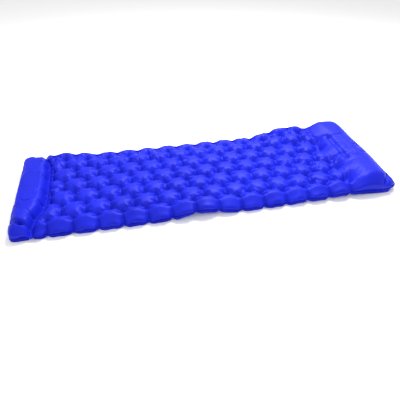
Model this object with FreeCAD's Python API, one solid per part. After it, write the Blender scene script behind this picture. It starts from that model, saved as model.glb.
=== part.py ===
import FreeCAD, Part
import math
import os

# Inflatable sleeping mat with a foot pump at one end and a pillow at the other end.
# +X runs from the pump to the pillow and +Z is up. The origin is on the floor, under the
# middle of the mat. Every size is in millimetres.

# Edge and sheets
length = 1900.0  # over the edge weld
width = 620.0  # over the edge weld
seam_width = 12.0  # flat hem all round
corner_radius = 60.0  # of the hem, at the four corners
sheet = 0.5  # coated cloth
weld_film = 0.4  # coating melted together between the two sheets
weld_height = 32.0  # of the weld plane above the floor

# Chambers
pump_length = 132.0
pump_rise = 56.0  # of the pump's top above the weld plane
pump_edge_radius = 20.0
divider_width = 12.0
divider_corner_radius = 34.0
field_rise = 33.0  # above the weld plane
field_bevel = 24.0
pillow_length = 238.0
pillow_rise = 76.0  # above the weld plane
pillow_edge_radius = 28.0
lower_bevel = 28.0

# Cell field: the weld dots lie at the corners of a honeycomb
cell_pitch = 112.0  # between cells along the mat
dot_radius = 4.5
pit_radius = 14.0  # of each pit at the face of the mat
pit_gap = 1.0  # least distance from a pit to the ends of the field
first_row_inset = 86.8  # from the far side wall to the middle of the first full row
column_shift = 0.05  # of a pitch, from the middle of the mat to a column of cells

# Rectangle welded into the pillow
panel_length = 77.0
panel_width = 216.0
panel_inset = 97.0  # from the start of the pillow to its middle
panel_y = 32.0
panel_weld_width = 6.0
panel_slope = 9.0  # how far each side of the groove leans out

# Foot pump
foam_width = 260.0
foam_centre_y = -5.0
foam_gap = 4.0  # from the end walls of the pump
foam_skin_gap = 0.4
foam_edge_radius = 18.0
foam_pocket_gap = 1.5  # round the end of the one-way valve
foot_width = 88.0
foot_length = 235.0
foot_y = -4.0
foot_thickness = 0.8
heel_share = 0.72  # of the ball's width
waist_share = 0.62  # of the ball's width

# One-way valve between pump and mat
sleeve_size = (34.0, 44.0, 8.0)
sleeve_slot = (34.0, 3.0)  # width and height
sleeve_y = 18.0
sleeve_flap_thickness = 0.8
sleeve_flap_gap = 0.2
sleeve_flap_room = 8.0  # kept free of pits, for the flap's swing

# Round valves in the far side wall; "up" is above the weld plane
intake = {"up": 16.0, "neck": 8.0, "flange": 13.0, "rise": 2.5}
main = {"up": 22.0, "neck": 14.0, "flange": 20.0, "rise": 3.0}
main_inset = 120.0  # from the start of the pillow
neck_wall = 2.0
flange_thickness = 1.2
strap_thickness = 1.2
strap_width = 2.0
seat_gap = 0.3  # between a plug and the hole that it fills
cap_gap = 0.2  # between a cap and the rim that it rests on
cap_thickness = 1.4
cap_plug_depth = 3.0
plug_rim_thickness = 1.6
plug_depth = 3.6
port_radius = 5.5
inflate_cap_radius = 8.0
inflate_plug_depth = 1.6
flap_thickness = 0.8
flap_gap = 0.2
flap_lap = 1.4  # how far a flap covers its seat
hinge_length = 6.0
hinge_gap = 0.3
lug_width = 1.5
lug_reach = 1.2  # from the pin's middle to the side of an ear
pin_radius = 0.8
pin_gap = 0.05
tab_length = 3.0
tab_width = 6.0
root_overlap = 1.0  # how far a tab or an arm runs into its disc

# Cutting and checking
overcut = 2.0  # how far a cut runs past the face that it opens
skin_growth = 1.5  # of a sheet's thickness, for the skin round a pit or a groove
tolerance = 0.001

# Worked out from the sizes above
half_x = length / 2
half_y = width / 2
wall_x = half_x - seam_width
wall_y = half_y - seam_width
divider_x0 = -wall_x + pump_length
divider_x1 = divider_x0 + divider_width
pillow_x = wall_x - pillow_length
pump_top = weld_height + pump_rise
field_top = weld_height + field_rise
pillow_top = weld_height + pillow_rise
film_z0 = weld_height - weld_film / 2
film_z1 = weld_height + weld_film / 2
row_pitch = cell_pitch * math.sqrt(3) / 2
chamber_radius = corner_radius - seam_width
intake["x"] = -wall_x + (pump_length + chamber_radius - divider_corner_radius) / 2
main["x"] = pillow_x + main_inset
bevel_offset = 2 - math.sqrt(2)  # keeps a bevelled skin as thick as its flat faces


def box(x0, x1, y0, y1, z0, z1):
    return Part.makeBox(x1 - x0, y1 - y0, z1 - z0, FreeCAD.Vector(x0, y0, z0))


def outline(x0, x1, y0, y1, r0, r1, z):
    """A rectangle whose corners are rounded by r0 at its low end and r1 at its high end."""
    corners = [(x0, y0, r0, 180), (x1, y0, r1, 270), (x1, y1, r1, 0), (x0, y1, r0, 90)]
    arcs = []
    for x, y, r, start in corners:
        cx = x + r if x == x0 else x - r
        cy = y + r if y == y0 else y - r
        circle = Part.Circle(FreeCAD.Vector(cx, cy, z), FreeCAD.Vector(0, 0, 1), r)
        arcs.append(Part.Arc(circle, math.radians(start), math.radians(start + 90)).toShape())
    edges = []
    for i, arc in enumerate(arcs):
        following = arcs[(i + 1) % 4]
        edges.append(arc)
        edges.append(Part.makeLine(arc.lastVertex().Point, following.firstVertex().Point))
    return Part.Wire(Part.__sortEdges__(edges))


def plate(x0, x1, y_half, r0, r1, z0, z1):
    face = Part.Face(outline(x0, x1, -y_half, y_half, r0, r1, z0))
    return face.extrude(FreeCAD.Vector(0, 0, z1 - z0))


def chamber(x0, x1, y_half, r0, r1, z0, z1, rounding=0.0, bevel=0.0):
    """A block with rounded corners, and with the edges of its face at z1 rounded or bevelled."""
    block = plate(x0, x1, y_half, r0, r1, z0, z1)
    rim = [e for e in block.Edges if all(abs(v.Z - z1) < tolerance for v in e.Vertexes)]
    if rounding:
        return block.makeFillet(rounding, rim)
    return block.makeChamfer(bevel, rim)


def dot_centres():
    """The corners of the honeycomb that fall inside the cell field."""
    sleeve_x = sleeve_block().BoundBox.XMax + sleeve_flap_room + pit_radius
    sleeve_half = sleeve_size[1] / 2 + pit_radius
    low = divider_x1 + pit_radius + pit_gap
    high = pillow_x - pit_radius - pit_gap
    reach = wall_y - pit_radius
    points = []
    rows = math.ceil(width / row_pitch) + 2
    columns = math.ceil(length / cell_pitch)
    for row in range(-2, rows):
        shift = 0.0 if row % 2 == 0 else 0.5
        for side in (1, -1):
            row_y = wall_y - first_row_inset - row * row_pitch
            y = row_y + side * cell_pitch / math.sqrt(3)
            for column in range(-columns, columns):
                x = (column + shift + column_shift) * cell_pitch
                at_sleeve = x < sleeve_x and abs(y - sleeve_y) < sleeve_half
                if low <= x <= high and abs(y) <= reach and not at_sleeve:
                    points.append((x, y))
    return points


def pits(z_open, z_floor, z_end, grow):
    """Cones from the face of the mat down to the weld dots, as one compound."""
    slope = (pit_radius - dot_radius) / (z_open - z_floor)
    over = overcut * math.copysign(1, z_open - z_floor)
    cones = []
    for x, y in dot_centres():
        top = Part.makeCone(
            dot_radius + grow,
            pit_radius + grow + slope * over,
            abs(z_open + over - z_floor),
            FreeCAD.Vector(x, y, z_floor),
            FreeCAD.Vector(0, 0, over),
        )
        cones.append(top)
        if z_end != z_floor:
            stem = Part.makeCylinder(
                dot_radius + grow,
                abs(z_floor - z_end),
                FreeCAD.Vector(x, y, z_floor),
                FreeCAD.Vector(0, 0, -over),
            )
            cones[-1] = top.fuse(stem)
    return Part.makeCompound(cones)


def frustum(half, z0, half_end, z1):
    """A block whose half lengths change from half at z0 to half_end at z1."""
    if z0 > z1:
        return frustum(half_end, z1, half, z0)
    (ax, ay), (bx, by) = half, half_end
    wedge = Part.makeWedge(-ax, z0, -ay, -by, -bx, ax, z1, ay, by, bx)
    wedge.rotate(FreeCAD.Vector(0, 0, 0), FreeCAD.Vector(1, 0, 0), 90.0)
    wedge.translate(FreeCAD.Vector(pillow_x + panel_inset, panel_y, 0))
    return wedge


def panel_groove(z_floor, z_open, width_at_floor, slope):
    """The groove that runs round the rectangle in the pillow."""
    w = width_at_floor / 2
    lean = w + slope
    hx, hy = panel_length / 2, panel_width / 2
    outer = frustum((hx + w, hy + w), z_floor, (hx + lean, hy + lean), z_open)
    inner = frustum((hx - w, hy - w), z_floor, (hx - lean, hy - lean), z_open)
    return outer.cut(inner)


def upper_shell():
    """The upper sheet over all three chambers as one skin, with its hem, before it is split."""
    hem = plate(-half_x, half_x, half_y, corner_radius, corner_radius, film_z1, film_z1 + sheet)
    round_in, round_out = divider_corner_radius, chamber_radius
    tuck = 2 * pillow_edge_radius  # how far the field's chamber runs on into the pillow
    spaces = {}
    for name, t in (("outer", 0.0), ("inner", sheet)):
        z0 = film_z1 - 2 * t
        y = wall_y - t
        end = wall_x - t
        pump = chamber(-end, divider_x0 - t, y, round_out - t, round_in - t, z0,
                       pump_top - t, rounding=pump_edge_radius - t)
        field = chamber(divider_x1 + t, pillow_x + tuck, y, round_in - t, round_in - t, z0,
                        field_top - t, bevel=field_bevel - bevel_offset * t)
        pillow = chamber(pillow_x + t, end, y, round_in - t, round_out - t, z0,
                         pillow_top - t, rounding=pillow_edge_radius - t)
        grow = skin_growth * t
        floor_z = film_z1 + sheet - t
        field = field.cut(pits(field_top - t, floor_z, z0, grow))
        groove = panel_groove(floor_z, pillow_top + overcut, panel_weld_width + 2 * grow,
                              panel_slope)
        if t:
            stem = panel_groove(z0, floor_z, panel_weld_width + 2 * grow, 0.0)
            groove = groove.fuse(stem)
        pillow = pillow.cut(groove)
        spaces[name] = (pump, field.fuse(pillow))
    skin = hem.fuse(list(spaces["outer"]))
    for space in spaces["inner"]:
        skin = skin.cut(space)
    return skin


def lower_shell():
    """The lower sheet, with a shallow dish under each air chamber."""
    hem = plate(-half_x, half_x, half_y, corner_radius, corner_radius, film_z0 - sheet, film_z0)
    spaces = {}
    for name, t in (("outer", 0.0), ("inner", sheet)):
        z0 = film_z0 + 2 * t
        y = wall_y - t
        end = wall_x - t
        edge = lower_bevel - bevel_offset * t
        pump = chamber(-end, divider_x0 - t, y, chamber_radius - t,
                       divider_corner_radius - t, z0, t, bevel=edge)
        mat = chamber(divider_x1 + t, end, y, divider_corner_radius - t,
                      chamber_radius - t, z0, t, bevel=edge)
        grow = skin_growth * t
        floor_z = film_z0 - sheet + t
        mat = mat.cut(pits(t, floor_z, z0, grow))
        groove = panel_groove(floor_z, -overcut, panel_weld_width + 2 * grow, panel_slope)
        if t:
            stem = panel_groove(z0, floor_z, panel_weld_width + 2 * grow, 0.0)
            groove = groove.fuse(stem)
        mat = mat.cut(groove)
        spaces[name] = (pump, mat)
    skin = hem.fuse(list(spaces["outer"]))
    for space in spaces["inner"]:
        skin = skin.cut(space)
    return skin


def edge_weld():
    ring = plate(-half_x, half_x, half_y, corner_radius, corner_radius, film_z0, film_z1)
    inside = plate(-wall_x, wall_x, wall_y, chamber_radius, chamber_radius, film_z0, film_z1)
    return ring.cut(inside)


def divider_weld():
    """The weld across the mat, with the corners that the rounded chambers leave."""
    x0 = divider_x0 - divider_corner_radius
    x1 = divider_x1 + divider_corner_radius
    strip = box(x0, x1, -wall_y, wall_y, film_z0, film_z1)
    pump = plate(-wall_x, divider_x0, wall_y, chamber_radius, divider_corner_radius,
                 film_z0, film_z1)
    mat = plate(divider_x1, wall_x, wall_y, divider_corner_radius, chamber_radius,
                film_z0, film_z1)
    return strip.cut(pump).cut(mat)


def dot_welds():
    discs = []
    for x, y in dot_centres():
        discs.append(Part.makeCylinder(dot_radius, weld_film, FreeCAD.Vector(x, y, film_z0)))
    return Part.makeCompound(discs)


def panel_weld():
    return panel_groove(film_z0, film_z1, panel_weld_width, 0.0)


def foam_block():
    """The spring of the pump, with a pocket where the one-way valve reaches into it."""
    x0 = -wall_x + sheet + foam_gap
    x1 = divider_x0 - sheet - foam_gap
    y0 = foam_centre_y - foam_width / 2
    z0 = sheet + foam_skin_gap
    block = box(x0, x1, y0, y0 + foam_width, z0, pump_top - sheet - foam_skin_gap)
    long_edges = [e for e in block.Edges if abs(e.Length - foam_width) < tolerance]
    low_edges = [e for e in long_edges if e.BoundBox.ZMax < z0 + tolerance]
    block = block.makeChamfer(lower_bevel, low_edges)
    top = block.BoundBox.ZMax
    top_edges = [e for e in block.Edges
                 if abs(e.Length - foam_width) < tolerance and e.BoundBox.ZMin > top - tolerance]
    block = block.makeFillet(foam_edge_radius, top_edges)
    valve = sleeve_block().BoundBox
    gap = foam_pocket_gap
    return block.cut(box(valve.XMin - gap, x1 + overcut, valve.YMin - gap, valve.YMax + gap,
                         valve.ZMin - gap, valve.ZMax + gap))


def foot_panel():
    """A sole-shaped patch: a round ball and a smaller heel, joined by a waist."""
    cx, cy = -wall_x + pump_length / 2, foot_y
    z0 = pump_top
    ball_r = foot_width / 2
    heel_r = heel_share * ball_r
    ball_y = cy + foot_length / 2 - ball_r
    heel_y = cy - foot_length / 2 + heel_r
    waist = waist_share * ball_r
    mid_y = (ball_y + heel_y) / 2
    up = FreeCAD.Vector

    def side(sign):
        # a smooth edge from the ball through the waist to the heel
        points = [
            up(cx + sign * ball_r, ball_y, z0),
            up(cx + sign * (ball_r + waist) / 2, (ball_y + mid_y) / 2, z0),
            up(cx + sign * waist, mid_y, z0),
            up(cx + sign * (heel_r + waist) / 2, (mid_y + heel_y) / 2, z0),
            up(cx + sign * heel_r, heel_y, z0),
        ]
        curve = Part.BSplineCurve()
        curve.interpolate(points, InitialTangent=up(0, -1, 0), FinalTangent=up(0, -1, 0))
        return curve.toShape()

    top = Part.Arc(up(cx + ball_r, ball_y, z0), up(cx, ball_y + ball_r, z0),
                   up(cx - ball_r, ball_y, z0)).toShape()
    bottom = Part.Arc(up(cx - heel_r, heel_y, z0), up(cx, heel_y - heel_r, z0),
                      up(cx + heel_r, heel_y, z0)).toShape()
    wire = Part.Wire(Part.__sortEdges__([top, side(-1), bottom, side(1)]))
    return Part.Face(wire).extrude(up(0, 0, foot_thickness))


def sleeve_block():
    sx, sy, sz = sleeve_size
    x0 = (divider_x0 + divider_x1 - sx) / 2
    return box(x0, x0 + sx, sleeve_y - sy / 2, sleeve_y + sy / 2,
               weld_height - sz / 2, weld_height + sz / 2)


def sleeve():
    block = sleeve_block()
    bounds = block.BoundBox
    w, h = sleeve_slot
    return block.cut(box(bounds.XMin, bounds.XMax, sleeve_y - w / 2, sleeve_y + w / 2,
                         weld_height - h / 2, weld_height + h / 2))


def sleeve_flap():
    x0 = sleeve_block().BoundBox.XMax + sleeve_flap_gap
    sx, sy, sz = sleeve_size
    return box(x0, x0 + sleeve_flap_thickness, sleeve_y - sy / 2, sleeve_y + sy / 2,
               weld_height - sz / 2, weld_height + sz / 2)


def disc(radius, w0, w1, hole=0.0):
    """A disc or ring about the local axis, from w0 to w1 outwards from the wall."""
    solid = Part.makeCylinder(radius, w1 - w0, FreeCAD.Vector(0, 0, w0))
    if hole:
        solid = solid.cut(Part.makeCylinder(hole, w1 - w0, FreeCAD.Vector(0, 0, w0)))
    return solid


def hinge_offset(radius):
    """How far a cap's hinge lies from the middle of a cap or neck of this radius."""
    return radius + hinge_gap + lug_reach


def lugs(offset, height, w0):
    """Two ears that stand on a face at w0 and hold a hinge pin at height."""
    ears = []
    for side in (-1, 1):
        inner = side * (hinge_length / 2 + hinge_gap)
        outer = inner + side * lug_width
        ear = box(offset - lug_reach, offset + lug_reach, min(inner, outer), max(inner, outer),
                  w0, height + lug_reach)
        hole = Part.makeCylinder(pin_radius + pin_gap, 2 * hinge_length,
                                 FreeCAD.Vector(offset, -hinge_length, height),
                                 FreeCAD.Vector(0, 1, 0))
        ears.append(ear.cut(hole))
    return ears


def arm_and_pin(inner, offset, height, w0, w1):
    """The tab and the pin that join a cap's rim to its ears."""
    arm = box(min(inner, offset), max(inner, offset), -hinge_length / 2, hinge_length / 2, w0, w1)
    reach = hinge_length / 2 + hinge_gap + lug_width
    pin = Part.makeCylinder(pin_radius, 2 * reach, FreeCAD.Vector(offset, -reach, height),
                            FreeCAD.Vector(0, 1, 0))
    return arm.fuse(pin)


def finger_tab(radius, side, w0, w1):
    """A tab to pull a cap open by, at the side away from its hinge."""
    root = side * (radius - root_overlap)
    tip = side * (radius + tab_length)
    return box(min(root, tip), max(root, tip), -tab_width / 2, tab_width / 2, w0, w1)


def valve_base(size):
    """Welded flange inside the wall, and the neck that stands out through it."""
    inside = -sheet - flange_thickness
    bore = size["neck"] - neck_wall
    flange = disc(size["flange"], inside, -sheet, bore)
    neck = disc(size["neck"], inside, size["rise"], bore)
    return flange.fuse(neck).removeSplitter()


def cap_strap(size):
    """A ring round the neck, with the two ears that hold the cap's hinge."""
    r = size["neck"]
    ring = disc(r + strap_width, 0.0, strap_thickness, r)
    return ring.fuse(lugs(hinge_offset(r), size["rise"], 0.0)).removeSplitter()


def intake_cap():
    r = intake["neck"]
    rim = intake["rise"] + cap_gap
    top = rim + cap_thickness
    plug = disc(r - neck_wall - seat_gap, rim - cap_plug_depth, rim)
    arm = arm_and_pin(r - root_overlap, hinge_offset(r), intake["rise"], rim, top)
    tab = finger_tab(r, -1, rim, top)
    return disc(r, rim, top).fuse([plug, arm, tab]).removeSplitter()


def deflate_plug():
    """The wide plug of the main valve: out for emptying, in for filling."""
    r = main["neck"]
    rim = main["rise"] + cap_gap
    top = rim + plug_rim_thickness
    lid = disc(r, rim, top, port_radius)
    skirt = disc(r - neck_wall - seat_gap, main["rise"] - plug_depth, rim, port_radius)
    arm = arm_and_pin(r - root_overlap, hinge_offset(r), main["rise"], rim, top)
    tab = finger_tab(r, -1, rim, top)
    ears = lugs(-hinge_offset(inflate_cap_radius), inflate_hinge_height(), top)
    return lid.fuse([skirt, arm, tab] + ears).removeSplitter()


def inflate_hinge_height():
    return main["rise"] + cap_gap + plug_rim_thickness + cap_gap + pin_radius


def inflate_cap():
    """The small cap over the port through which the mat is topped up or trimmed by mouth."""
    face = main["rise"] + cap_gap + plug_rim_thickness
    rim = face + cap_gap
    top = rim + cap_thickness
    r = inflate_cap_radius
    plug = disc(port_radius - seat_gap, face - inflate_plug_depth, rim)
    arm = arm_and_pin(-(r - root_overlap), -hinge_offset(r), inflate_hinge_height(), rim, top)
    tab = finger_tab(r, 1, rim, top)
    return disc(r, rim, top).fuse([plug, arm, tab]).removeSplitter()


def inflate_flap():
    w1 = main["rise"] - plug_depth - flap_gap
    return disc(port_radius + flap_lap, w1 - flap_thickness, w1)


def intake_flap():
    w1 = -sheet - flange_thickness - flap_gap
    return disc(intake["neck"] - neck_wall + flap_lap, w1 - flap_thickness, w1)


def place(shape, size):
    """From a valve's own frame to the far side wall; its hinge side faces up."""
    moved = shape.copy()
    moved.rotate(FreeCAD.Vector(0, 0, 0), FreeCAD.Vector(1, 1, 1), -120.0)
    moved.translate(FreeCAD.Vector(size["x"], wall_y, weld_height + size["up"]))
    return moved


def neck_hole(size):
    return disc(size["neck"], -overcut, overcut)


def save(name, shape):
    for solid in shape.Solids:
        if not solid.isValid():
            raise ValueError(name + " is not a valid solid")
    shape.exportStep(os.path.join("parts", name + ".step"))
    bounds = shape.BoundBox
    print(name, len(shape.Solids), "solids", round(shape.Volume / 1000, 2), "cm3",
          [round(v, 1) for v in (bounds.XMin, bounds.YMin, bounds.ZMin,
                                 bounds.XMax, bounds.YMax, bounds.ZMax)])


os.makedirs("parts", exist_ok=True)

across = (-half_y, half_y)
sleeve_space = sleeve_block()
divider_middle = (divider_x0 + divider_x1) / 2
skin = upper_shell()
pump_zone = box(-half_x, divider_middle, *across, 0.0, pump_top)
field_zone = box(divider_middle, pillow_x, *across, 0.0, pillow_top)
pillow_zone = box(pillow_x, half_x, *across, 0.0, pillow_top)
save("upper_sheet_pump",
     skin.common(pump_zone).cut(sleeve_space).cut(place(neck_hole(intake), intake)))
save("upper_sheet_field", skin.common(field_zone).cut(sleeve_space))
save("upper_sheet_pillow", skin.common(pillow_zone).cut(place(neck_hole(main), main)))
save("lower_sheet", lower_shell().cut(sleeve_space))
save("edge_weld", edge_weld())
save("pump_divider_weld", divider_weld().cut(sleeve_space))
save("cell_weld_dots", dot_welds())
save("pillow_panel_weld", panel_weld())
save("pump_foam", foam_block())
save("foot_panel", foot_panel())
save("transfer_valve_sleeve", sleeve())
save("transfer_valve_flap", sleeve_flap())
save("intake_valve_base", place(valve_base(intake), intake))
save("intake_cap_strap", place(cap_strap(intake), intake))
save("intake_cap", place(intake_cap(), intake))
save("intake_flap", place(intake_flap(), intake))
save("main_valve_base", place(valve_base(main), main))
save("deflate_plug_strap", place(cap_strap(main), main))
save("deflate_plug", place(deflate_plug(), main))
save("inflate_cap", place(inflate_cap(), main))
save("inflate_flap", place(inflate_flap(), main))
for valve, size in (("intake", intake), ("main", main)):
    print(valve, "hinge at x", size["x"], "y", wall_y + size["rise"],
          "z", weld_height + size["up"] + hinge_offset(size["neck"]))
print("inflate hinge at y", wall_y + inflate_hinge_height(),
      "z", weld_height + main["up"] - hinge_offset(inflate_cap_radius))
print("inflate flap at y", wall_y + main["rise"] - plug_depth - flap_gap,
      "z", weld_height + main["up"] + port_radius + flap_lap)
print("intake flap at y", wall_y - sheet - flange_thickness - flap_gap,
      "z", weld_height + intake["up"] + intake["neck"] - neck_wall + flap_lap)
print("sleeve flap at x", sleeve_space.BoundBox.XMax + sleeve_flap_gap,
      "z", sleeve_space.BoundBox.ZMax)
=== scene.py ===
import math

import bmesh
import bpy
import numpy as np
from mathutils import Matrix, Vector, noise


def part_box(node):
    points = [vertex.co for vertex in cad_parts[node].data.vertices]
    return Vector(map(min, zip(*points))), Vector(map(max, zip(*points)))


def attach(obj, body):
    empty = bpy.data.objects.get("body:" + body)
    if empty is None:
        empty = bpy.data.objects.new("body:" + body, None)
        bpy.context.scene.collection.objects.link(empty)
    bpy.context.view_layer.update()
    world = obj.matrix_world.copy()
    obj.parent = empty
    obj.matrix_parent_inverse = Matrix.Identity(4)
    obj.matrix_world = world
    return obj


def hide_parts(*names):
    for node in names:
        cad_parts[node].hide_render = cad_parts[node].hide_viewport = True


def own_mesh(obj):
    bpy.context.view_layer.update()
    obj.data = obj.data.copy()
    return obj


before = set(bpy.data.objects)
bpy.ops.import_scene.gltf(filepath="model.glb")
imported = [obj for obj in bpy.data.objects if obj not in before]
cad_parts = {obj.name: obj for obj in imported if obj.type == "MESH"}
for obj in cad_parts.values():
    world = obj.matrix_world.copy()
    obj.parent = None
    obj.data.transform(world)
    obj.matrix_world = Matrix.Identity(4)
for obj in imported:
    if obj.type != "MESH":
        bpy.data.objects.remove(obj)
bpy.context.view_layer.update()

# ---- Upper sheet -------------------------------------------------------------------------
# One piece of light nylon, coated on its inner face, laid over a second sheet and welded to
# it round the edge, across the mat behind the foot pump, and at a honeycomb of small dots.
# Air pressure lifts it between the welds, and the spare cloth gathers into folds at them.
hem_low, hem_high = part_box("edge_weld")
weld_z = (hem_low.z + hem_high.z) / 2
hem_width = 0.012
hem_radius = 0.060
wall_x, wall_y = hem_high.x - hem_width, hem_high.y - hem_width
wall_radius = hem_radius - hem_width
pillow_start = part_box("upper_sheet_pillow")[0].x
divider_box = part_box("pump_divider_weld")
divider_x = (divider_box[0].x + divider_box[1].x) / 2
divider_half = 0.0045  # half the width that the weld behind the pump holds down
pump_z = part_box("upper_sheet_pump")[1].z
field_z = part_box("upper_sheet_field")[1].z
pillow_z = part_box("upper_sheet_pillow")[1].z
panel_low, panel_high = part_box("pillow_panel_weld")


def island_centres(mesh):
    """The middle of each separate piece of a mesh, seen from above."""
    label = np.arange(len(mesh.vertices))
    ends = np.array([e.vertices[:] for e in mesh.edges])
    while True:
        low = label[ends].min(axis=1)
        before = label.copy()
        np.minimum.at(label, ends[:, 0], low)
        np.minimum.at(label, ends[:, 1], low)
        if np.array_equal(label, before):
            break
    points = np.array([v.co[:2] for v in mesh.vertices])
    middles = {}
    for key in np.unique(label):
        x, y = points[label == key].mean(axis=0)
        middles[(round(x, 3), round(y, 3))] = (x, y)
    return np.array(sorted(middles.values()))


dots = island_centres(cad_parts["cell_weld_dots"].data)
cell_pitch = 0.112  # from one cell's middle to the next, along the mat
column_step = cell_pitch / 18
row_step = cell_pitch * math.sqrt(3) / 30
finer_by_wall = 0.026  # within this distance of a wall the grid lines are twice as close
dot_x, dot_y = dots[:, 0].min(), dots[:, 1].min()


def thread_lines(origin, step, low, high):
    """Grid lines through the dots, with one on each wall and more of them next to it."""
    first = math.ceil((low - origin) / step + 0.5)
    last = math.floor((high - origin) / step - 0.5)
    lines = [low] + [origin + step * i for i in range(first, last + 1)] + [high]
    between = [(a + b) / 2 for a, b in zip(lines, lines[1:])
               if min(a - low, high - b) < finer_by_wall]
    return np.array(sorted(lines + between))


columns = thread_lines(dot_x, column_step, -wall_x, wall_x)
rows = thread_lines(dot_y, row_step, -wall_y, wall_y)
X, Y = np.meshgrid(columns, rows, indexing="ij")
flat_x, flat_y = X.copy(), Y.copy()
# the square corners of the grid are drawn in to round ones
for side_x in (-1, 1):
    for side_y in (-1, 1):
        a = (side_x * flat_x - (wall_x - wall_radius)) / wall_radius
        b = (side_y * flat_y - (wall_y - wall_radius)) / wall_radius
        corner = (a > 0) & (b > 0)
        a_in, b_in = a[corner], b[corner]
        X[corner] = side_x * (wall_x - wall_radius + wall_radius * a_in * np.sqrt(1 - b_in**2 / 2))
        Y[corner] = side_y * (wall_y - wall_radius + wall_radius * b_in * np.sqrt(1 - a_in**2 / 2))

# the weld behind the pump bends towards the end of the mat at both sides
divider_across = np.array([-1.0, -0.70, -0.50, -0.35, 0.0, 0.30, 0.67, 0.83, 1.0]) * wall_y
divider_bend = np.array([-0.050, -0.032, -0.006, 0.003, 0.004, 0.001, -0.001, -0.010, -0.045])
divider_line = np.interp(rows, divider_across, divider_x + divider_bend)
for _ in range(6):
    divider_line[1:-1] = (divider_line[:-2] + 2 * divider_line[1:-1] + divider_line[2:]) / 4
divider_column = np.array([int(np.abs(columns - x).argmin()) for x in divider_line])

# the welds hold these points down
nx, ny = X.shape
pinned = np.zeros((nx, ny), bool)
pinned[0, :] = pinned[-1, :] = pinned[:, 0] = pinned[:, -1] = True
for j in range(ny):
    for k in (-1, 0, 1):
        i = divider_column[j] + k
        pinned[i, j] = True
        X[i, j] = divider_line[j] + k * divider_half
for x, y in dots:
    i, j = int(np.abs(columns - x).argmin()), int(np.abs(rows - y).argmin())
    if abs(columns[i] - divider_line[j]) < 0.012:
        continue
    for a, b in ((0, 0), (1, 0), (-1, 0), (0, 1), (0, -1)):
        pinned[min(i + a, nx - 1), min(max(j + b, 0), ny - 1)] = True
Z = np.full((nx, ny), weld_z)

# distances to the welds, from which the shape of each chamber follows
to_dots = np.full((nx, ny), 1.0)
for x, y in dots:
    to_dots = np.minimum(to_dots, np.hypot(X - x, Y - y))
corner_a = np.maximum(np.abs(X) - (wall_x - wall_radius), 0)
corner_b = np.maximum(np.abs(Y) - (wall_y - wall_radius), 0)
in_corner = (corner_a > 0) & (corner_b > 0)
to_wall = np.minimum(wall_x - np.abs(X), wall_y - np.abs(Y))
to_wall[in_corner] = wall_radius - np.hypot(corner_a, corner_b)[in_corner]
to_wall = np.maximum(to_wall, 0)
end_nearer = (wall_x - np.abs(X)) < (wall_y - np.abs(Y))
out_x = np.where(in_corner, np.sign(X) * corner_a, np.where(end_nearer, np.sign(X), 0.0))
out_y = np.where(in_corner, np.sign(Y) * corner_b, np.where(end_nearer, 0.0, np.sign(Y)))
size = np.maximum(np.hypot(out_x, out_y), 1e-9)
out_x, out_y = out_x / size, out_y / size
to_divider = np.maximum(np.abs(X - divider_line[None, :]) - divider_half, 0)
on_pump = X < divider_line[None, :]


def smooth(t):
    t = np.clip(t, 0, 1)
    return t * t * (3 - 2 * t)


ramp = smooth((X - (pillow_start - 0.012)) / 0.090)  # 0 at the cells, 1 on the pillow

# at each outer dot the side tubes are drawn in to a crease that runs to the edge
pinches = [(x, -1) for x, y in dots if y < -0.75 * wall_y and x < pillow_start - 0.02]
pinches += [(x, 1) for x, y in dots if y > 0.88 * wall_y]
notch = np.zeros((nx, ny))
to_pinch = np.full((nx, ny), 1.0)
for x, side in pinches:
    on_side = (Y * side > 0) & ~in_corner
    notch = np.maximum(notch, np.where(on_side, np.exp(-((X - x) / 0.010)**2), 0))
    near = np.where(on_side, np.hypot(X - x, np.maximum(0.80 * wall_y - Y * side, 0)), 1.0)
    to_pinch = np.minimum(to_pinch, near)


def dome(distance, reach, power=2.0):
    """The profile of a filled tube: 0 at its weld, 1 from reach onwards."""
    t = np.clip(distance / reach, 0, 1)
    return (1 - (1 - t)**power)**(1 / power)


def lift_over(wall_distance):
    """How far the cloth stands above the weld plane at a distance from the wall."""
    cell = 0.027 * np.clip(np.minimum(np.minimum(to_dots, wall_distance * 1.3), to_divider)
                           / 0.060, 0, 1)**0.42
    drawn = np.where(Y < 0, 0.013, 0.017)
    crown = np.where(Y < 0, 0.031, 0.021)
    cell = np.minimum(cell, drawn + (crown - drawn) * np.sqrt(np.clip(to_pinch / 0.034, 0, 1)))
    pump = (pump_z - weld_z + 0.005) * dome(np.minimum(wall_distance, to_divider), 0.064, 2.7)
    end = np.sin(np.pi / 2 * np.clip(np.maximum(wall_x - X, 0) / 0.160, 0, 1))
    side = dome(wall_distance, np.where(Y > 0, 0.050, 0.080))
    pillow = (pillow_z - weld_z - 0.004) * np.minimum(end, side)
    return np.where(on_pump, pump, cell * (1 - ramp) + pillow * ramp)


# next to the wall the cloth rolls over: it leaves the weld outwards and curves back in
roll = np.where(on_pump, 0.046, 0.030 + 0.026 * ramp)
bulge = np.where(on_pump, 0.011, np.where(Y < 0, 0.017, 0.008))
bulge = bulge * (1 - 0.85 * np.clip(-out_x, 0, 1))
bulge = bulge * (1 - notch) - np.where(Y < 0, 0.004, 0.001) * notch
full = lift_over(np.maximum(to_wall, roll))
half_axis = roll + np.maximum(bulge, 0)
sink = np.sqrt(1 - (roll / half_axis)**2)
t = np.clip(to_wall / roll, 0, 1)
angle = -np.arcsin(sink) + (np.pi / 2 + np.arcsin(sink)) * t
inward = roll - half_axis * np.cos(angle) - np.minimum(bulge, 0) * (1 - t)
height = full * (np.sin(angle) + sink) / (1 + sink)
plain = lift_over(to_wall)
rolled = np.clip(1 - np.maximum(out_x, 0) * 1.6, 0, 1) * (to_wall < roll)
lift = plain * (1 - rolled) + height * rolled
shift = (to_wall - inward) * rolled

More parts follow.
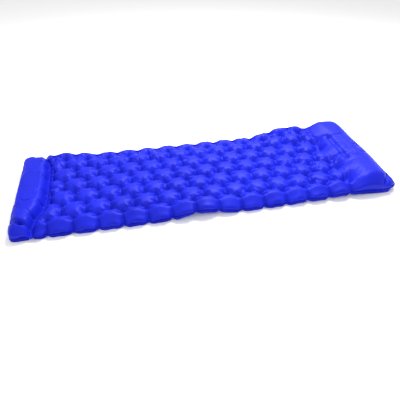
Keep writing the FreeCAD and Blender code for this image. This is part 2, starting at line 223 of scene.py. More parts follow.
# round each valve the wall stands straight up, so that the flange inside lies flat on it
upright = 0.72  # share of the wall's roll that stands straight here
valves = []
for base in ("intake_valve_base", "main_valve_base"):
    low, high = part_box(base)
    valves.append(((low.x + high.x) / 2, (low.z + high.z) / 2, (high.x - low.x) / 2))
on_flange = np.zeros((nx, ny), bool)
for valve_x, valve_z, flange in valves:
    rise = valve_z + flange + 0.003 - weld_z
    u = np.clip(to_wall / roll, 0, 1)
    v = np.clip((u - upright) / (1 - upright), 0, 1) * np.pi / 2
    over_valve = rise + np.maximum(full - rise, 0) * np.sin(v)
    straight_height = np.where(u < upright, rise * u / upright, over_valve)
    straight_inward = np.where(u < upright, 0.0, roll * (1 - np.cos(v)))
    share = smooth((flange + 0.034 - np.abs(X - valve_x)) / 0.028)
    share = share * (Y > 0) * (to_wall < roll) * (np.abs(out_y) > 0.99)
    lift = lift * (1 - share) + straight_height * share
    shift = shift * (1 - share) + (to_wall - straight_inward) * share
    on_flange |= ((share > 0.999) & (u < upright)
                  & (np.hypot(X - valve_x, weld_z + lift - valve_z) < flange + 0.003))
X = X + out_x * shift
Y = Y + out_y * shift

lift[pinned] = 0
for x, side in pinches:
    i = int(np.abs(columns - x).argmin())
    drawn_height = 0.013 if side < 0 else 0.020
    for j in range(1, ny - 1):
        s = (wall_y - rows[j] * side) / (0.20 * wall_y)
        if s < 1:
            pinned[i, j] = True
            lift[i, j] = drawn_height * math.sin(math.pi * s)
pinned |= on_flange

# over the flat sleeve of the one-way valve the weld opens to let it through
sleeve_low, sleeve_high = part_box("transfer_valve_sleeve")
beside_sleeve = np.maximum(np.maximum(sleeve_low.y - Y, Y - sleeve_high.y), 0)
over_sleeve = np.clip(1 - beside_sleeve / 0.012, 0, 1)
over_sleeve = over_sleeve * (np.abs(X - (sleeve_low.x + sleeve_high.x) / 2) < 0.020)
lift = np.maximum(lift, over_sleeve * (sleeve_high.z - weld_z + 0.0012))
rng = np.random.default_rng(7)
Z = weld_z + lift
Z[~pinned] += rng.normal(0, 0.0004, (nx, ny))[~pinned]

# the share by which the cloth is cut longer than its place: most at the cells
slack = np.full((nx, ny), 0.060)
slack[on_pump] = 0.035
slack = slack * (1 - ramp) + 0.020 * ramp


def grid_faces(count_x, count_y):
    index = np.arange(count_x * count_y).reshape(count_x, count_y)
    return index, np.stack([index[:-1, :-1], index[1:, :-1], index[1:, 1:], index[:-1, 1:]],
                           axis=-1).reshape(-1, 4)


def add_piece(name, vertices, faces):
    mesh = bpy.data.meshes.new(name)
    mesh.from_pydata(np.asarray(vertices).tolist(), [], [list(map(int, f)) for f in faces])
    mesh.update()
    piece = bpy.data.objects.new(name, mesh)
    bpy.context.scene.collection.objects.link(piece)
    mesh.polygons.foreach_set("use_smooth", [True] * len(mesh.polygons))
    return piece


def inflate(name, points, held, spare, pressure, frames):
    """Fills one sheet with air while the held points stay in place, and returns its points."""
    count_x, count_y = held.shape
    index, faces = grid_faces(count_x, count_y)
    rim = list(index[:, 0]) + list(index[-1, 1:]) + list(index[-2::-1, -1]) + list(index[0, -2:0:-1])
    bag = add_piece(name, points.reshape(-1, 3), list(faces) + [rim[::-1]])
    welded = bag.vertex_groups.new(name="welded")
    welded.add([int(v) for v in index[held]], 1.0, "REPLACE")
    most = float(spare.max())
    snug = bag.vertex_groups.new(name="snug")
    for v, share in zip(index.ravel(), spare.ravel()):
        snug.add([int(v)], float(1 - share / most), "REPLACE")
    cloth = bag.modifiers.new("Cloth", "CLOTH")
    cloth.settings.quality = 5
    cloth.settings.mass = 0.02
    cloth.settings.tension_stiffness = 60
    cloth.settings.compression_stiffness = 60
    cloth.settings.shear_stiffness = 12
    cloth.settings.bending_stiffness = 0.05
    cloth.settings.tension_damping = 5
    cloth.settings.compression_damping = 5
    cloth.settings.shear_damping = 5
    cloth.settings.air_damping = 1
    cloth.settings.use_pressure = True
    cloth.settings.uniform_pressure_force = pressure
    cloth.settings.shrink_min = -most
    cloth.settings.shrink_max = 0.0
    cloth.settings.vertex_group_shrink = "snug"
    cloth.settings.vertex_group_mass = "welded"
    cloth.settings.effector_weights.gravity = 0
    cloth.collision_settings.use_collision = False
    cloth.collision_settings.use_self_collision = False
    cloth.point_cache.frame_start = 1
    cloth.point_cache.frame_end = frames
    scene = bpy.context.scene
    for f in range(1, frames + 1):
        scene.frame_set(f)
    shaped = bag.evaluated_get(bpy.context.evaluated_depsgraph_get())
    out = np.zeros(len(shaped.data.vertices) * 3, np.float32)
    shaped.data.vertices.foreach_get("co", out)
    bag.modifiers.clear()
    used = bag.data
    bpy.data.objects.remove(bag)
    bpy.data.meshes.remove(used)
    scene.frame_set(1)
    return out.astype(float).reshape(count_x, count_y, 3)


air_pressure, settling_frames = 40.0, 9
upper = np.stack([X, Y, Z], axis=-1)
upper = inflate("upper_sheet_cloth", upper, pinned, slack, air_pressure, settling_frames)

# the seam evens out the cloth next to it
for _ in range(3):
    even = upper.copy()
    even[1:-1] = (upper[:-2] + 2 * upper[1:-1] + upper[2:]) / 4
    along_seam = (wall_y - np.abs(Y) < 0.024) & ~pinned
    upper[along_seam] = even[along_seam]
for _ in range(10):
    even = upper.copy()
    even[:, 1:-1] = (upper[:, :-2] + 2 * upper[:, 1:-1] + upper[:, 2:]) / 4
    by_divider = (to_divider < 0.060) & on_pump & (to_wall > 0.020) & ~pinned
    upper[by_divider] = even[by_divider]

# the pump's foam holds the cloth flat on top
foot_low, foot_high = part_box("foot_panel")
foam_low, foam_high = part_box("pump_foam")
sole_x, sole_y = (foot_low.x + foot_high.x) / 2, (foot_low.y + foot_high.y) / 2
sole_a, sole_b = (foot_high.x - foot_low.x) / 2, (foot_high.y - foot_low.y) / 2
from_sole_x = (upper[..., 0] - sole_x) / (sole_a + 0.002)
from_sole_y = (upper[..., 1] - sole_y) / (sole_b + 0.006)
reach = from_sole_x**4 + from_sole_y**4
under_foot = smooth((2.4 - reach) / 1.3)


def soft_ceiling(z, top, band):
    """Heights near or over top are pressed together so that none passes it."""
    over = (z - (top - band)) / band
    return np.where(over > 0, top - band + band * np.tanh(over), z)


cell_top = field_z + 0.004
tops = np.where(on_pump, foot_low.z + 0.0035, cell_top + (pillow_z - cell_top) * ramp)
upper[..., 2] = soft_ceiling(upper[..., 2], tops, np.where(on_pump, 0.034, 0.012))
upper[..., 2] = upper[..., 2] * (1 - under_foot) + (foot_low.z - 0.0008) * under_foot

# a full mat doesn't lie quite flat: its edges stand off the floor here and there
near_places = [-0.30, -0.20, -0.13, -0.06, 0.00, 0.09, 0.36, 0.42, 0.54, 0.63, 0.73, 0.83, 0.90]
near_rises = [0.0, 0.006, 0.022, 0.023, 0.014, 0.0, 0.0, 0.006, 0.006, 0.014, 0.012, 0.004, 0.0]
far_places = [-0.850, -0.815, -0.740, -0.690, -0.640, -0.580, -0.520,
              0.33, 0.43, 0.475, 0.56, 0.63, 0.69, 0.745]
far_rises = [0.0, 0.022, 0.022, 0.018, 0.012, 0.004, 0.0,
             0.0, 0.022, 0.036, 0.050, 0.042, 0.030, 0.012]
near_lift = np.interp(upper[..., 0], near_places, near_rises)
far_lift = np.interp(upper[..., 0], far_places, far_rises)
near_fade = np.clip((-upper[..., 1] - 0.05) / 0.25, 0, 1)
far_fade = np.clip((upper[..., 1] - 0.06) / 0.22, 0, 1)
edge_lift = near_lift * near_fade**2 + far_lift * far_fade**2

# the near seam sags under the weight of the tubes that bulge over it
along_near = smooth((-upper[..., 1] - 0.260) / 0.038) * smooth((0.910 - upper[..., 0]) / 0.070)
along_end = smooth((-upper[..., 0] - 0.900) / 0.035) * smooth((-upper[..., 1] - 0.130) / 0.150)
sag = np.maximum(along_near, along_end) * 0.016
at_corner = smooth((-upper[..., 0] - 0.880) / 0.050) * smooth((-upper[..., 1] - 0.240) / 0.050)
sag += 0.006 * at_corner
upper[..., 0] -= 0.005 * at_corner
upper[..., 1] -= 0.010 * at_corner
# the pillow stands higher along its far side
high_side = smooth((upper[..., 0] - 0.700) / 0.060) * smooth((0.925 - upper[..., 0]) / 0.080)
high_side = high_side * smooth((upper[..., 1] - 0.140) / 0.120)
high_side = 0.013 * high_side * smooth((upper[..., 2] - weld_z) / 0.050)

# the lower sheet bulges the same way, until it meets the floor
lower = upper.copy()
lower[..., 1] = np.maximum(lower[..., 1], -wall_y + (lower[..., 1] + wall_y) * 0.60)
hang = np.clip(upper[..., 2] - weld_z, 0, None)
lower[..., 2] = np.maximum(weld_z - hang * 1.35 - sag, 0.0006)
lower[..., 2] = np.where(pinned & (hang < 0.001), weld_z - 0.0004 - sag, lower[..., 2])
upper[..., 2] = np.maximum(upper[..., 2], weld_z + 0.0003) - sag + high_side
upper[..., 2] = soft_ceiling(upper[..., 2] + edge_lift, pillow_z + 0.0115, 0.014)
lower[..., 2] += edge_lift
edge_lift = edge_lift - sag


def refine(values):
    """Doubles a grid of points along both axes, on a smooth surface through its middle."""
    for _ in range(2):
        kept = values.copy()
        kept[1:-1] = (values[:-2] + 6 * values[1:-1] + values[2:]) / 8
        between = (values[:-1] + values[1:]) / 2
        out = np.empty((2 * len(values) - 1,) + values.shape[1:])
        out[0::2] = kept
        out[1::2] = between
        values = out.swapaxes(0, 1)
    return values


fine = refine(upper)
fine_lift = refine(np.repeat(edge_lift[..., None], 3, axis=-1))[..., 0]


def crease(start, end, depth_start, depth_end, width):
    """Presses a fold into the upper sheet along a straight line, seen from above."""
    sx, sy = start
    dx, dy = end[0] - sx, end[1] - sy
    t = np.clip(((fine[..., 0] - sx) * dx + (fine[..., 1] - sy) * dy) / (dx * dx + dy * dy), 0, 1)
    away = np.hypot(fine[..., 0] - sx - t * dx, fine[..., 1] - sy - t * dy)
    above = np.clip((fine[..., 2] - fine_lift - weld_z) / 0.016, 0, 1)
    fine[..., 2] -= (depth_start * (1 - t) + depth_end * t) * np.exp(-(away / width)**2) * above


def fan(apex, toward, spread, count, length, depth, width):
    """Folds that gather to one point of a weld and open out like a fan."""
    for k in range(count):
        turn = toward + spread * ((k + 0.5) / count - 0.5) + rng.normal(0, 0.06)
        run = length * rng.uniform(0.65, 1.1)
        end = (apex[0] + run * math.cos(turn), apex[1] + run * math.sin(turn))
        crease(apex, end, depth * rng.uniform(0.8, 1.2), 0.0005, width * rng.uniform(0.8, 1.2))


# short folds meet at each dot: along the sides of the cells, and up into the cells between
for x, y in dots:
    near_dots = [(x2, y2) for x2, y2 in dots if 0 < math.hypot(x2 - x, y2 - y) < 0.07]
    for x2, y2 in near_dots:
        middle = (x * 0.52 + x2 * 0.48, y * 0.52 + y2 * 0.48)
        crease((x, y), middle, 0.0070 * rng.uniform(0.7, 1.2), 0.0012, 0.0052)
        crease((x, y), middle, 0.0020, 0.0022, 0.0100)
        run = rng.uniform(0.45, 0.62)
        inward_end = (x - (x2 - x) * run, y - (y2 - y) * run)
        crease((x, y), inward_end, 0.0100 * rng.uniform(0.6, 1.2), 0.0, 0.0044)
# the near corners are drawn in behind their lobes
crease((-wall_x + 0.004, -0.232), (-0.888, -0.262), 0.020, 0.018, 0.009)
crease((-0.888, -0.262), (-0.848, -0.272), 0.018, 0.022, 0.009)
crease((wall_x - 0.033, -0.236), (wall_x - 0.080, -0.300), 0.012, 0.016, 0.007)
# folds on the flank of the pump, above the weld behind it
for y, depth in ((-0.209, 0.010), (-0.125, 0.009), (-0.034, 0.008), (0.091, 0.008), (0.184, 0.007)):
    x = float(np.interp(y, rows, divider_line)) - 0.004
    fan((x, y), math.pi, 1.7, 4, 0.046, depth, 0.0055)
# wide folds where the cells end and the pillow rises, with finer ones that fan out
last_dots = [(0.082, 1.00, 2.0, 0.110), (-0.112, 0.80, 2.1, 0.110), (-0.241, 0.75, 1.3, 0.120)]
last_dot_x = 0.678
for y, toward, spread, run in last_dots:
    trough_end = (last_dot_x + 0.075 * math.cos(toward), y + 0.075 * math.sin(toward))
    crease((last_dot_x, y), trough_end, 0.020, 0.002, 0.021)
    fan((last_dot_x, y), toward, spread, 5, run, 0.0080, 0.0056)
crease((0.625, 0.188), (0.700, 0.215), 0.012, 0.001, 0.018)

# the rectangle in the pillow: a shallow welded line, deepest on the side of the cells
line_half = 0.003
px0, px1 = panel_low.x + line_half, panel_high.x - line_half
py0, py1 = panel_low.y + line_half, panel_high.y - line_half
inside = smooth((fine[..., 0] - px0) / 0.012) * smooth((px1 - fine[..., 0]) / 0.030)
inside = inside * smooth((fine[..., 1] - py0) / 0.020) * smooth((py1 - fine[..., 1]) / 0.020)
fine[..., 2] -= 0.004 * inside
crease((px0, py0), (px0, py1), 0.013, 0.013, 0.013)
crease((px0, py1), (px1, py1), 0.004, 0.004, 0.0048)
crease((px0, py0), (px1, py0), 0.004, 0.004, 0.0042)
crease((px1, py0), (px1, py1), 0.0032, 0.0032, 0.0042)
fine[..., 2] = np.maximum(fine[..., 2], weld_z + 0.0003 + fine_lift)
fx, fy = fine.shape[:2]
fine_divider = np.interp(np.arange(fy), np.arange(0, fy, 2), divider_column.astype(float)) * 2
pillow_column = 2 * int(np.abs(columns - pillow_start).argmin())


def grid_normals(points):
    """Unit normals of a grid of points, from its own directions."""
    along = np.gradient(points, axis=0)
    across = np.gradient(points, axis=1)
    normals = np.cross(along, across)
    return normals / np.maximum(np.linalg.norm(normals, axis=-1, keepdims=True), 1e-12)


def sheet_part(name, points, chosen, flip=False):
    """The faces of a grid whose first corner passes, with the whole sheet's normals."""
    count_x, count_y = points.shape[:2]
    faces = grid_faces(count_x, count_y)[1].reshape(count_x - 1, count_y - 1, 4)[chosen]
    if flip:
        faces = faces[:, ::-1]
    used, renumbered = np.unique(faces, return_inverse=True)
    piece = add_piece(name, points.reshape(-1, 3)[used], renumbered.reshape(-1, 4))
    normals = grid_normals(points).reshape(-1, 3)[used] * (-1 if flip else 1)
    piece.data.normals_split_custom_set_from_vertices(normals.tolist())
    return piece


face_i = np.arange(fx - 1)[:, None] + np.zeros((1, fy - 1))
face_middle = (fine[:-1, :-1] + fine[1:, :-1] + fine[1:, 1:] + fine[:-1, 1:]) / 4
# the cloth is open where a valve's neck passes through it
open_neck = np.zeros((fx - 1, fy - 1), bool)
for (valve_x, valve_z, flange), neck in zip(valves, ("intake_cap_strap", "deflate_plug_strap")):
    strap_low, strap_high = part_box(neck)
    neck_radius = (strap_high.x - strap_low.x) / 2 - 0.002
    from_neck = np.hypot(face_middle[..., 0] - valve_x, face_middle[..., 2] - valve_z)
    open_neck |= (from_neck < neck_radius) & (face_middle[..., 1] > wall_y - 0.006)
face_pump = face_i < np.round(fine_divider[:-1])[None, :]
face_pillow = face_i >= pillow_column
pump_cover = sheet_part("pump_cover", fine, face_pump & ~open_neck)
cell_cover = sheet_part("cell_cover", fine, ~face_pump & ~face_pillow)
pillow_cover = sheet_part("pillow_cover", fine, ~face_pump & face_pillow & ~open_neck)


def add_material(name, color, roughness):
    material = bpy.data.materials.new(name)
    material.use_nodes = True
    tree = material.node_tree
    shader = tree.nodes["Principled BSDF"]
    shader.inputs["Base Color"].default_value = (*color, 1)
    shader.inputs["Roughness"].default_value = roughness
    return material, tree, shader


def node(tree, kind, settings=(), **values):
    made = tree.nodes.new(kind)
    for key, value in values.items():
        setattr(made, key, value)
    for key, value in settings:
        made.inputs[key].default_value = value
    return made


def coated_nylon():
    """Plain-weave nylon with a satin coating: fine threads, soft crinkles, a little bloom."""
    material, tree, shader = add_material("blue_coated_nylon", (0.005, 0.010, 0.60), 0.50)
    shader.inputs["Sheen Weight"].default_value = 0.04
    shader.inputs["Sheen Roughness"].default_value = 0.4
    shader.inputs["Sheen Tint"].default_value = (0.2, 0.25, 1.0, 1)
    shader.inputs["Specular IOR Level"].default_value = 0.13
    link = tree.links.new
    place = node(tree, "ShaderNodeTexCoord")
    patches = node(tree, "ShaderNodeTexNoise", [("Scale", 7.0), ("Detail", 4.0), ("Roughness", 0.6)])
    link(place.outputs["Object"], patches.inputs["Vector"])
    tone = node(tree, "ShaderNodeValToRGB")
    tone.color_ramp.elements[0].position = 0.3
    tone.color_ramp.elements[0].color = (0.005, 0.010, 0.44, 1)
    tone.color_ramp.elements[1].position = 0.7
    tone.color_ramp.elements[1].color = (0.008, 0.016, 0.57, 1)
    link(patches.outputs["Fac"], tone.inputs["Fac"])
    link(tone.outputs["Color"], shader.inputs["Base Color"])
    gloss = node(tree, "ShaderNodeMapRange", [("To Min", 0.42), ("To Max", 0.54)])
    link(patches.outputs["Fac"], gloss.inputs["Value"])
    link(gloss.outputs["Result"], shader.inputs["Roughness"])
    warp = node(tree, "ShaderNodeTexWave", [("Scale", 330.0), ("Distortion", 0.2), ("Detail", 1.0)],
                wave_type="BANDS", bands_direction="X")
    weft = node(tree, "ShaderNodeTexWave", [("Scale", 330.0), ("Distortion", 0.2), ("Detail", 1.0)],
                wave_type="BANDS", bands_direction="Y")
    link(place.outputs["Object"], warp.inputs["Vector"])
    link(place.outputs["Object"], weft.inputs["Vector"])
    weave = node(tree, "ShaderNodeMath", operation="MULTIPLY")
    link(warp.outputs["Fac"], weave.inputs[0])
    link(weft.outputs["Fac"], weave.inputs[1])
    crinkle = node(tree, "ShaderNodeTexNoise",
                   [("Scale", 60.0), ("Detail", 5.0), ("Roughness", 0.62), ("Distortion", 0.6)])
    link(place.outputs["Object"], crinkle.inputs["Vector"])
    threads = node(tree, "ShaderNodeBump", [("Strength", 0.12), ("Distance", 0.0003)])
    folds = node(tree, "ShaderNodeBump", [("Strength", 0.35), ("Distance", 0.0016)])
    link(weave.outputs["Value"], threads.inputs["Height"])
    link(crinkle.outputs["Fac"], folds.inputs["Height"])
    link(threads.outputs["Normal"], folds.inputs["Normal"])
    link(folds.outputs["Normal"], shader.inputs["Normal"])
    return material


nylon = coated_nylon()
for piece, replaced in ((pump_cover, "upper_sheet_pump"), (cell_cover, "upper_sheet_field"),
                        (pillow_cover, "upper_sheet_pillow")):
    piece.data.materials.append(nylon)
    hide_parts(replaced)
    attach(piece, "mat")
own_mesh(pump_cover)

# ---- Lower sheet -------------------------------------------------------------------------
# The same coated nylon, cut to the same outline. It bulges between the same welds, and is
# flat wherever it rests on the floor.
floor_sheet = sheet_part("floor_sheet", lower, np.ones((nx - 1, ny - 1), bool), flip=True)
floor_sheet.data.materials.append(nylon)
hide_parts("lower_sheet")
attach(floor_sheet, "mat")

# ---- Edge weld ---------------------------------------------------------------------------
# Both sheets melted together in a flat hem about 12 mm wide. It is stiffer and a little
# darker than the cloth, and its free edge droops and waves slightly.
border = np.concatenate([fine[:, 0], fine[-1, 1:], fine[-2::-1, -1], fine[0, -2:0:-1]])


def round_the_hem(path):
    """Directions that point straight out of a closed line, seen from above."""
    ahead = np.roll(path, -1, axis=0) - np.roll(path, 1, axis=0)
    out = np.stack([ahead[:, 1], -ahead[:, 0]], axis=-1)
    return out / np.linalg.norm(out, axis=-1, keepdims=True)


outward = round_the_hem(border)
hem_half = 0.0006
hem_steps = [-0.0035, 0.000, 0.0025, 0.0055, 0.0085, 0.0112, 0.0120]
wave = np.array([noise.noise(Vector((p[0] * 9, p[1] * 9, 3.1))) for p in border])
ring = []
for reach_out in hem_steps:
    share = max(reach_out, 0) / hem_width
    droop = -0.0065 * share**1.4 + 0.003 * wave * share
    hem_line = border[:, :2] + outward * reach_out * (1 - 0.36 * share)
    ring.append(np.column_stack([hem_line, border[:, 2] + droop]))
top_rows = [r + np.array([0, 0, hem_half]) for r in ring[:-1]]
under_rows = [r - np.array([0, 0, hem_half]) for r in ring[-2::-1]]
hem_rows = top_rows + [ring[-1]] + under_rows
loop = len(border)
hem_faces = []
for k in range(len(hem_rows)):
    here, there = k * loop, ((k + 1) % len(hem_rows)) * loop
    for s in range(loop):
        t = (s + 1) % loop
        hem_faces.append((here + s, there + s, there + t, here + t))
hem = add_piece("hem", np.concatenate(hem_rows), hem_faces)


def weld_finish():
    """Cloth pressed by a hot tool: smoother and darker, with the tool's fine ribs in it."""
    material, tree, shader = add_material("pressed_weld", (0.006, 0.012, 0.55), 0.50)
    shader.inputs["Specular IOR Level"].default_value = 0.12
    link = tree.links.new
    place = node(tree, "ShaderNodeTexCoord")
    ribs = node(tree, "ShaderNodeTexChecker", [("Scale", 520.0)])
    link(place.outputs["Object"], ribs.inputs["Vector"])
    blotch = node(tree, "ShaderNodeTexNoise", [("Scale", 24.0), ("Detail", 3.0)])
    link(place.outputs["Object"], blotch.inputs["Vector"])
    tone = node(tree, "ShaderNodeValToRGB")
    tone.color_ramp.elements[0].color = (0.004, 0.008, 0.42, 1)
    tone.color_ramp.elements[1].color = (0.007, 0.012, 0.56, 1)
    link(blotch.outputs["Fac"], tone.inputs["Fac"])
    link(tone.outputs["Color"], shader.inputs["Base Color"])
    relief = node(tree, "ShaderNodeBump", [("Strength", 0.25), ("Distance", 0.0003)])
    link(ribs.outputs["Fac"], relief.inputs["Height"])
    link(relief.outputs["Normal"], shader.inputs["Normal"])
    return material


pressed = weld_finish()
hem.data.materials.append(pressed)
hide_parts("edge_weld")
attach(hem, "mat")

# ---- Weld behind the pump ----------------------------------------------------------------
# The same kind of weld as the hem, across the mat. It keeps the pump's air apart from the
# mat's, but for the one-way valve that is welded into it.


def band(name, centre_line, half_width, closed):
    """A flat ribbon with a slightly raised, rounded face along a line of points."""
    line = np.asarray(centre_line, float)
    if closed:
        ahead = np.roll(line, -1, axis=0) - np.roll(line, 1, axis=0)
    else:
        ahead = np.gradient(line, axis=0)
    out = np.stack([ahead[:, 1], -ahead[:, 0]], axis=-1)
    out /= np.linalg.norm(out, axis=-1, keepdims=True)
    shares = [(-1.0, -0.0004), (-0.92, 0.0004), (-0.5, 0.0006), (0.0, 0.0006), (0.5, 0.0006),
              (0.92, 0.0004), (1.0, -0.0004)]
    rows_of_band = [np.column_stack([line[:, :2] + out * half_width * s, line[:, 2] + h])
                    for s, h in shares]
    n = len(line)
    faces = []
    for k in range(len(shares) - 1):
        for s in range(n if closed else n - 1):
            t = (s + 1) % n
            faces.append((k * n + s, k * n + t, (k + 1) * n + t, (k + 1) * n + s))
    return add_piece(name, np.concatenate(rows_of_band), faces)


divider_points = np.array([upper[divider_column[j], j] for j in range(ny)])
divider_points[:, 2] += 0.0004
divider_band = band("divider_weld", divider_points, 0.0032, closed=False)
divider_band.data.materials.append(pressed)
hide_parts("pump_divider_weld")
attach(divider_band, "mat")

# ---- Weld dots ---------------------------------------------------------------------------
# A round spot of weld, 9 mm across, at each corner of the honeycomb. Each is pressed a
# little deeper in its middle.
dot_radius = 0.0045
dot_points, dot_faces = [], []
around = 20
dot_profile = [(1.0, -0.0004), (0.90, 0.0003), (0.72, 0.0004), (0.50, 0.0001), (0.25, -0.0001)]
for x, y in dots:
    i, j = int(np.abs(columns - x).argmin()), int(np.abs(rows - y).argmin())
    z = upper[i, j, 2] + 0.0008
    start = len(dot_points)
    for share, rise in dot_profile:
        for s in range(around):
            angle = 2 * math.pi * s / around
            dot_points.append((x + dot_radius * share * math.cos(angle),
                               y + dot_radius * share * math.sin(angle), z + rise))
    dot_points.append((x, y, z - 0.0001))
    for k in range(len(dot_profile) - 1):
        for s in range(around):
            t = (s + 1) % around
            dot_faces.append((start + k * around + s, start + k * around + t,
                              start + (k + 1) * around + t, start + (k + 1) * around + s))
    last = start + (len(dot_profile) - 1) * around
    for s in range(around):
        dot_faces.append((last + s, last + (s + 1) % around, start + len(dot_profile) * around))
weld_dots = add_piece("weld_dots", dot_points, dot_faces)
weld_dots.data.materials.append(pressed)
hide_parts("cell_weld_dots")
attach(weld_dots, "mat")

# ---- Rectangle in the pillow -------------------------------------------------------------
# A welded line pressed into the pillow, which draws it in round a shallow rest for the
# head. The same hot tool makes it, and it is deepest on the side of the cells.
i0, i1 = [int(np.abs(fine[:, fy // 2, 0] - x).argmin()) for x in (px0, px1)]
j0, j1 = [int(np.abs(fine[(i0 + i1) // 2, :, 1] - y).argmin()) for y in (py0, py1)]
panel_path = np.concatenate([fine[i0:i1, j0], fine[i1, j0:j1],
                             fine[i1:i0:-1, j1], fine[i0, j1:j0:-1]])
panel_path[:, 2] += 0.0006
panel_band = band("pillow_panel_line", panel_path, line_half * 0.5, closed=True)
panel_band.data.materials.append(pressed)
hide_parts("pillow_panel_weld")
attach(panel_band, "mat")

# ---- Foot panel --------------------------------------------------------------------------
# A sole-shaped patch of the same cloth, welded flat on top of the pump to show where to
# tread, with a pressed rim and a line across behind the ball of the foot.


def sole_half_width(share):
    """Half the sole's width at a place from heel (0) to toe (1)."""
    ball, heel = sole_a, sole_a * 0.72
    length = 2 * sole_b
    y = share * length
    ball_y, heel_y = length - ball, heel
    if y <= heel_y:
        return math.sqrt(max(heel**2 - (heel - y)**2, 0))
    if y >= ball_y:
        return math.sqrt(max(ball**2 - (y - ball_y)**2, 0))
    t = (y - heel_y) / (ball_y - heel_y)
    blend = t * t * (3 - 2 * t)
    return heel + (ball - heel) * blend - 0.20 * ball * math.sin(math.pi * t)**2


sole_points, sole_faces = [], []
along_count, across_count = 96, 36
for k in range(along_count + 1):
    share = (1 - math.cos(math.pi * k / along_count)) / 2
    half = sole_half_width(min(max(share, 1e-5), 1 - 1e-5))
    y = foot_low.y + share * 2 * sole_b
    for s in range(across_count + 1):
        side = -math.cos(math.pi * s / across_count)
        x = sole_x + half * side
        rim = min(half * (1 - abs(side)), min(share, 1 - share) * 2 * sole_b)
        cross = abs(share - 0.47) * 2 * sole_b
        height = 0.0017 * min(1, rim / 0.0012) - 0.0009
        height -= 0.0007 * math.exp(-((rim - 0.0055) / 0.0016)**2)
        height -= 0.0007 * math.exp(-(cross / 0.0018)**2) * min(1, rim / 0.006)
        sole_points.append((x, y, foot_low.z - 0.0001 + height))
for k in range(along_count):
    for s in range(across_count):
        a = k * (across_count + 1) + s
        sole_faces.append((a, a + 1, a + across_count + 2, a + across_count + 1))
sole = add_piece("sole_patch", sole_points, sole_faces)
sole.data.materials.append(nylon)
sole.data.materials.append(pressed)
for face in sole.data.polygons:
    k, s = divmod(face.index, across_count)
    share = (1 - math.cos(math.pi * (k + 0.5) / along_count)) / 2
    side = -math.cos(math.pi * (s + 0.5) / across_count)
    rim = min(sole_half_width(share) * (1 - abs(side)), min(share, 1 - share) * 2 * sole_b)
    face.material_index = int(abs(rim - 0.0055) < 0.0022 or abs(share - 0.47) * 2 * sole_b < 0.0022)
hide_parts("foot_panel")
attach(sole, "pump_tread")

# ---- Pump foam ---------------------------------------------------------------------------
# A block of open-cell foam, cut with rounded top edges, that lies loose in the pump. It
# springs the pump open again after each step.


def foam_mesh():
    mesh = bmesh.new()
    bmesh.ops.create_cube(mesh, size=1.0)
    size = foam_high - foam_low
    bmesh.ops.scale(mesh, vec=(size.x - 0.024, size.y - 0.024, size.z - 0.010), verts=mesh.verts)
    bmesh.ops.translate(mesh, vec=(foam_low + foam_high) / 2, verts=mesh.verts)
    low_edges = [e for e in mesh.edges if all(v.co.z < foam_low.z + 0.02 for v in e.verts)]
    bmesh.ops.bevel(mesh, geom=low_edges, offset=0.026, segments=3, affect="EDGES", profile=0.5)
    top_edges = [e for e in mesh.edges if all(v.co.z > foam_high.z - 0.02 for v in e.verts)]
    bmesh.ops.bevel(mesh, geom=top_edges, offset=0.018, segments=5, affect="EDGES", profile=0.5)
    bmesh.ops.subdivide_edges(mesh, edges=mesh.edges, cuts=4, use_grid_fill=True)
    for v in mesh.verts:
        v.co += v.normal * 0.0006 * noise.noise(v.co * 160)
    out = bpy.data.meshes.new("foam_block")
    mesh.to_mesh(out)
    mesh.free()
    return out


foam = bpy.data.objects.new("foam_block", foam_mesh())
bpy.context.scene.collection.objects.link(foam)
foam.data.polygons.foreach_set("use_smooth", [True] * len(foam.data.polygons))


def foam_finish():
    material, tree, shader = add_material("open_cell_foam", (0.74, 0.72, 0.64), 0.95)
    link = tree.links.new
    place = node(tree, "ShaderNodeTexCoord")
    cells = node(tree, "ShaderNodeTexVoronoi", [("Scale", 700.0)])
    link(place.outputs["Object"], cells.inputs["Vector"])
    # the pores, where the bump dips, are painted darker than the cell walls: painted shade in the
    # hollows, over the foam's own pale colour
    tone = node(tree, "ShaderNodeValToRGB")
    tone.color_ramp.elements[0].color = (0.50, 0.47, 0.38, 1)
    tone.color_ramp.elements[1].color = (0.80, 0.78, 0.70, 1)
    link(cells.outputs["Distance"], tone.inputs["Fac"])
    link(tone.outputs["Color"], shader.inputs["Base Color"])
    relief = node(tree, "ShaderNodeBump", [("Strength", 0.6), ("Distance", 0.0008)])
    link(cells.outputs["Distance"], relief.inputs["Height"])
    link(relief.outputs["Normal"], shader.inputs["Normal"])
    return material


foam.data.materials.append(foam_finish())
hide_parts("pump_foam")
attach(foam, "mat")
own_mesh(foam)

# ---- One-way valve -----------------------------------------------------------------------
# A flat moulded sleeve welded into the weld behind the pump, and a silicone strip over its
# slot. Pumped air lifts the strip, and the mat's own pressure shuts it.


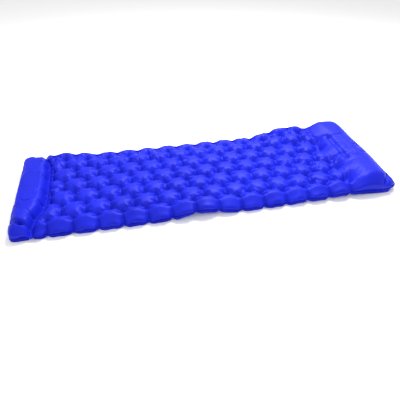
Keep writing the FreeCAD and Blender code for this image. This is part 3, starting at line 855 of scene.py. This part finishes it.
def moulded(name, color, roughness, speckle, coat=0.0):
    """Moulded plastic or rubber with a fine grain and slight wear of its gloss."""
    material, tree, shader = add_material(name, color, roughness)
    shader.inputs["Coat Weight"].default_value = coat
    link = tree.links.new
    place = node(tree, "ShaderNodeTexCoord")
    grain = node(tree, "ShaderNodeTexNoise", [("Scale", 900.0), ("Detail", 3.0)])
    wear = node(tree, "ShaderNodeTexNoise", [("Scale", 45.0), ("Detail", 4.0)])
    link(place.outputs["Object"], grain.inputs["Vector"])
    link(place.outputs["Object"], wear.inputs["Vector"])
    tone = node(tree, "ShaderNodeValToRGB")
    tone.color_ramp.elements[0].color = (*[c * (1 - speckle) for c in color], 1)
    tone.color_ramp.elements[1].color = (*[min(1.0, c * (1 + speckle)) for c in color], 1)
    link(wear.outputs["Fac"], tone.inputs["Fac"])
    link(tone.outputs["Color"], shader.inputs["Base Color"])
    gloss = node(tree, "ShaderNodeMapRange", [("To Min", roughness - 0.08), ("To Max", roughness + 0.10)])
    link(wear.outputs["Fac"], gloss.inputs["Value"])
    link(gloss.outputs["Result"], shader.inputs["Roughness"])
    relief = node(tree, "ShaderNodeBump", [("Strength", 0.2), ("Distance", 0.0002)])
    link(grain.outputs["Fac"], relief.inputs["Height"])
    link(relief.outputs["Normal"], shader.inputs["Normal"])
    return material


def refinish(name, material):
    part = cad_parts[name]
    part.data.materials.clear()
    part.data.materials.append(material)


black_plastic = moulded("black_valve_plastic", (0.020, 0.020, 0.026), 0.38, 0.35, coat=0.15)
soft_black = moulded("soft_black_cap", (0.014, 0.014, 0.018), 0.55, 0.30)
clear_silicone = moulded("milky_silicone", (0.58, 0.60, 0.62), 0.40, 0.12)
refinish("transfer_valve_sleeve", black_plastic)
refinish("transfer_valve_flap", clear_silicone)

# ---- Pump intake -------------------------------------------------------------------------
# A short moulded neck on a flange that is welded inside the side wall. A soft cap on a strap
# closes it for storage, and a silicone disc inside shuts it at each push of the foot.
refinish("intake_valve_base", black_plastic)
refinish("intake_cap_strap", soft_black)
refinish("intake_cap", soft_black)
refinish("intake_flap", clear_silicone)

# ---- Main valve --------------------------------------------------------------------------
# A wide neck in the pillow's side wall. Its plug comes out to empty the mat, and the small
# capped port in the plug, with a silicone disc behind it, tops up or trims the air.
refinish("main_valve_base", black_plastic)
refinish("deflate_plug_strap", soft_black)
refinish("deflate_plug", soft_black)
refinish("inflate_cap", soft_black)
refinish("inflate_flap", clear_silicone)

# ---- Floor, light and camera -------------------------------------------------------------
# A white studio floor under a broad soft light from above and a little behind, with a
# weak second one from the front. The camera looks down from the near side.
scene = bpy.context.scene
scene.view_settings.view_transform = "Standard"
bpy.ops.mesh.primitive_plane_add(size=30.0, location=(0, 0, -0.0005))
floor = bpy.context.object
floor.name = "studio_floor"
floor_paint, floor_tree, floor_shader = add_material("white_floor", (0.96, 0.96, 0.96), 0.9)
floor_grain = node(floor_tree, "ShaderNodeTexNoise", [("Scale", 3.0)])
floor_tone = node(floor_tree, "ShaderNodeValToRGB")
floor_tone.color_ramp.elements[0].color = (0.95, 0.95, 0.95, 1)
floor_tone.color_ramp.elements[1].color = (0.97, 0.97, 0.97, 1)
floor_tree.links.new(floor_grain.outputs["Fac"], floor_tone.inputs["Fac"])
floor_tree.links.new(floor_tone.outputs["Color"], floor_shader.inputs["Base Color"])
floor_shader.inputs["Emission Color"].default_value = (1, 1, 1, 1)
floor_shader.inputs["Emission Strength"].default_value = 0.10
floor.data.materials.append(floor_paint)

world = bpy.data.worlds.new("studio")
scene.world = world
world.use_nodes = True
world.node_tree.nodes["Background"].inputs["Color"].default_value = (1.0, 1.0, 1.0, 1)
world.node_tree.nodes["Background"].inputs["Strength"].default_value = 0.74


def softbox(name, place, aim, size, power):
    lamp = bpy.data.lights.new(name, "AREA")
    lamp.shape = "RECTANGLE"
    lamp.size, lamp.size_y = size
    lamp.energy = power
    holder = bpy.data.objects.new(name, lamp)
    scene.collection.objects.link(holder)
    holder.location = place
    holder.rotation_euler = (Vector(aim) - Vector(place)).to_track_quat("-Z", "Y").to_euler()


softbox("key_light", (0.7, 1.1, 2.3), (0.1, 0.0, 0.0), (1.8, 1.1), 118)
softbox("fill_light", (-1.2, -1.8, 2.4), (0.0, 0.0, 0.0), (2.4, 1.6), 12)

azimuth, elevation = math.radians(-11.71), math.radians(38.04)
target = Vector((-0.071, -0.215, 0.032))
distance = 1.919
back = Vector((math.sin(azimuth) * math.cos(elevation), -math.cos(azimuth) * math.cos(elevation),
               math.sin(elevation)))
camera_data = bpy.data.cameras.new("camera")
camera_data.lens = 35.7
camera_data.sensor_width = 36.0
camera = bpy.data.objects.new("camera", camera_data)
scene.collection.objects.link(camera)
camera.location = target + back * distance
camera.rotation_euler = back.to_track_quat("Z", "Y").to_euler()
scene.camera = camera
